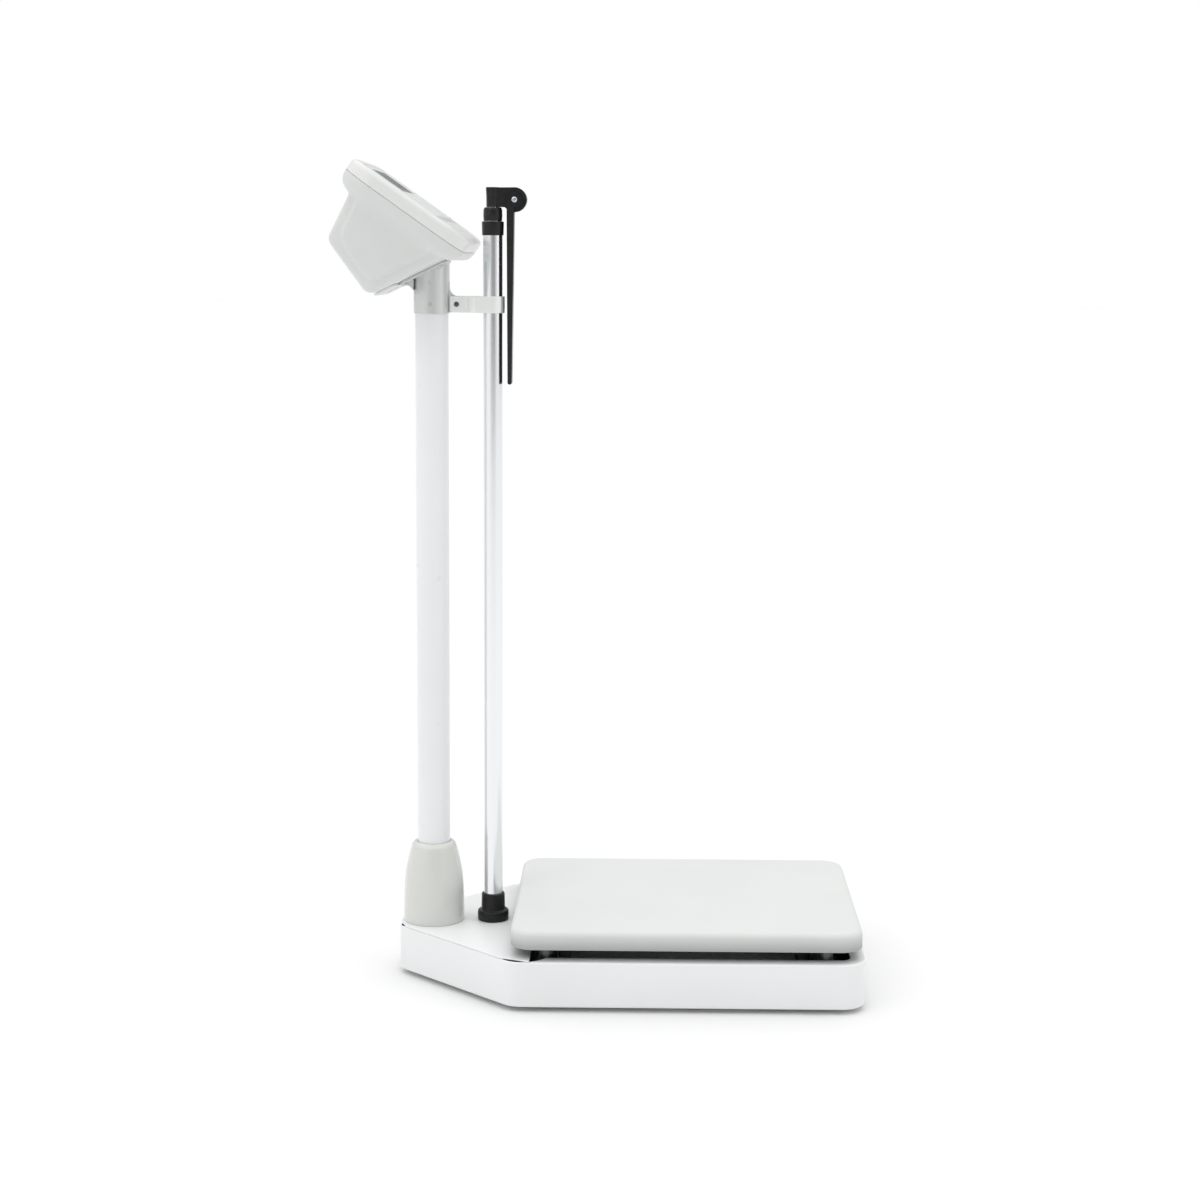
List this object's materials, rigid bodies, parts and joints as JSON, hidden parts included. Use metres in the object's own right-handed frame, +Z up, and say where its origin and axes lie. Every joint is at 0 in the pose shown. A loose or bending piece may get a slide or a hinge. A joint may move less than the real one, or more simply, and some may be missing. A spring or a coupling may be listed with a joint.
{
  "type": "physician column scale",
  "caption": "Free-standing digital column scale: raised weighing platform on a tapered base, tilted display head on a post, telescoping height rod with a fold-down headpiece.",
  "frame": {"origin": "centre of the bounding box's underside, on the floor between the feet", "axes": "+Z up; +X from the column towards the far end of the platform; +Y towards the scale's left side, so the right side faces -Y"},
  "size_m": [0.6063, 0.318, 0.9445],
  "materials": {
    "painted_white": "satin white powder coat",
    "painted_black": "matt black paint",
    "platform_coating": "matt light grey textured coating",
    "rubber": "black moulded rubber",
    "load_cell_alloy": "machined",
    "zinc_steel": "bright zinc plate",
    "enclosure_plastic": "matt black",
    "cover_plastic": "glossy warm light grey",
    "cable_jacket": "matt black jacket",
    "rod_aluminium": "satin anodised, drawn lengthwise",
    "rod_plastic": "glossy black moulding",
    "bracket_paint": "silver grey paint",
    "strap_paint": "glossy light grey paint",
    "head_plastic": "satin light grey moulding",
    "overlay_film": "printed polyester film",
    "lcd_lens": "smoked grey lens over a segment display",
    "lcd_body": "black frame",
    "circuit_board": "green solder mask",
    "key_plastic": "satin light grey"
  },
  "bodies": {
    "stand": {"base_tray": "painted_white", "deck_plate": "painted_white", "foot_front_right": "rubber", "foot_front_left": "rubber", "foot_rear_right": "rubber", "foot_rear_left": "rubber", "foot_tail": "rubber", "cross_channel_rear": "painted_black", "cross_channel_front": "painted_black", "load_cell_rear_right": "load_cell_alloy", "load_cell_rear_left": "load_cell_alloy", "load_cell_front_right": "load_cell_alloy", "load_cell_front_left": "load_cell_alloy", "load_pad_rear_right": "zinc_steel", "load_pad_rear_left": "zinc_steel", "load_pad_front_right": "zinc_steel", "load_pad_front_left": "zinc_steel", "junction_box": "enclosure_plastic", "column_tube": "painted_white", "column_socket": "zinc_steel", "pillar_cover": "cover_plastic", "signal_cable": "cable_jacket", "rod_foot": "rubber", "outer_tube": "rod_aluminium", "lower_collar": "rod_plastic", "head_bracket": "bracket_paint", "flange_screw_1": "zinc_steel", "flange_screw_2": "zinc_steel", "flange_screw_3": "zinc_steel", "flange_screw_4": "zinc_steel", "sleeve_screw_lower": "bracket_paint", "sleeve_screw_upper": "bracket_paint", "rod_strap": "strap_paint", "strap_screw": "zinc_steel", "strap_nut": "zinc_steel", "rear_shell": "head_plastic", "front_bezel": "head_plastic", "face_overlay": "overlay_film", "lcd_window": "lcd_lens", "lcd_module": "lcd_body", "main_board": "circuit_board", "battery_pack": "enclosure_plastic"},
    "platform": {"platform_cover": "platform_coating", "platform_rail_right": "painted_black", "platform_rail_left": "painted_black", "platform_crossbar_rear": "painted_black", "platform_crossbar_front": "painted_black"},
    "middle_stage": {"middle_tube": "rod_aluminium", "upper_collar": "rod_plastic"},
    "inner_stage": {"inner_rod": "rod_aluminium", "hinge_block": "rod_plastic", "pivot_screw": "zinc_steel", "pivot_nut": "zinc_steel"},
    "headpiece": {"headpiece": "rod_plastic"},
    "battery_door": {"battery_door": "head_plastic"},
    "key_unit": {"key_unit": "key_plastic"},
    "key_hold": {"key_hold": "key_plastic"},
    "key_power": {"key_power": "key_plastic"},
    "key_tare": {"key_tare": "key_plastic"},
    "key_print": {"key_print": "key_plastic"}
  },
  "joints": [
    {"name": "platform_lift", "type": "slide", "parent": "stand", "child": "platform", "axis": [0, 0, 1], "range_m": [0, 0.08]},
    {"name": "middle_tube_slide", "type": "slide", "parent": "stand", "child": "middle_stage", "axis": [0, 0, 1], "range_m": [0, 0.66]},
    {"name": "inner_rod_slide", "type": "slide", "parent": "middle_stage", "child": "inner_stage", "axis": [0, 0, 1], "range_m": [0, 0.66]},
    {"name": "headpiece_fold", "type": "hinge", "parent": "inner_stage", "child": "headpiece", "pos_m": [-0.102, 0, 0.9038], "axis": [0, -1, 0], "range_deg": [0, 90]},
    {"name": "battery_door_pull", "type": "slide", "parent": "stand", "child": "battery_door", "axis": [0.4431, 0, -0.8965], "range_m": [0, 0.02]},
    {"name": "key_unit_press", "type": "slide", "parent": "stand", "child": "key_unit", "axis": [-0.5736, 0, -0.8192], "range_m": [0, 0.0005], "stiffness_N_per_m": 2000},
    {"name": "key_hold_press", "type": "slide", "parent": "stand", "child": "key_hold", "axis": [-0.5736, 0, -0.8192], "range_m": [0, 0.0005], "stiffness_N_per_m": 2000},
    {"name": "key_power_press", "type": "slide", "parent": "stand", "child": "key_power", "axis": [-0.5736, 0, -0.8192], "range_m": [0, 0.0005], "stiffness_N_per_m": 2000},
    {"name": "key_tare_press", "type": "slide", "parent": "stand", "child": "key_tare", "axis": [-0.5736, 0, -0.8192], "range_m": [0, 0.0005], "stiffness_N_per_m": 2000},
    {"name": "key_print_press", "type": "slide", "parent": "stand", "child": "key_print", "axis": [-0.5736, 0, -0.8192], "range_m": [0, 0.0005], "stiffness_N_per_m": 2000}
  ]
}
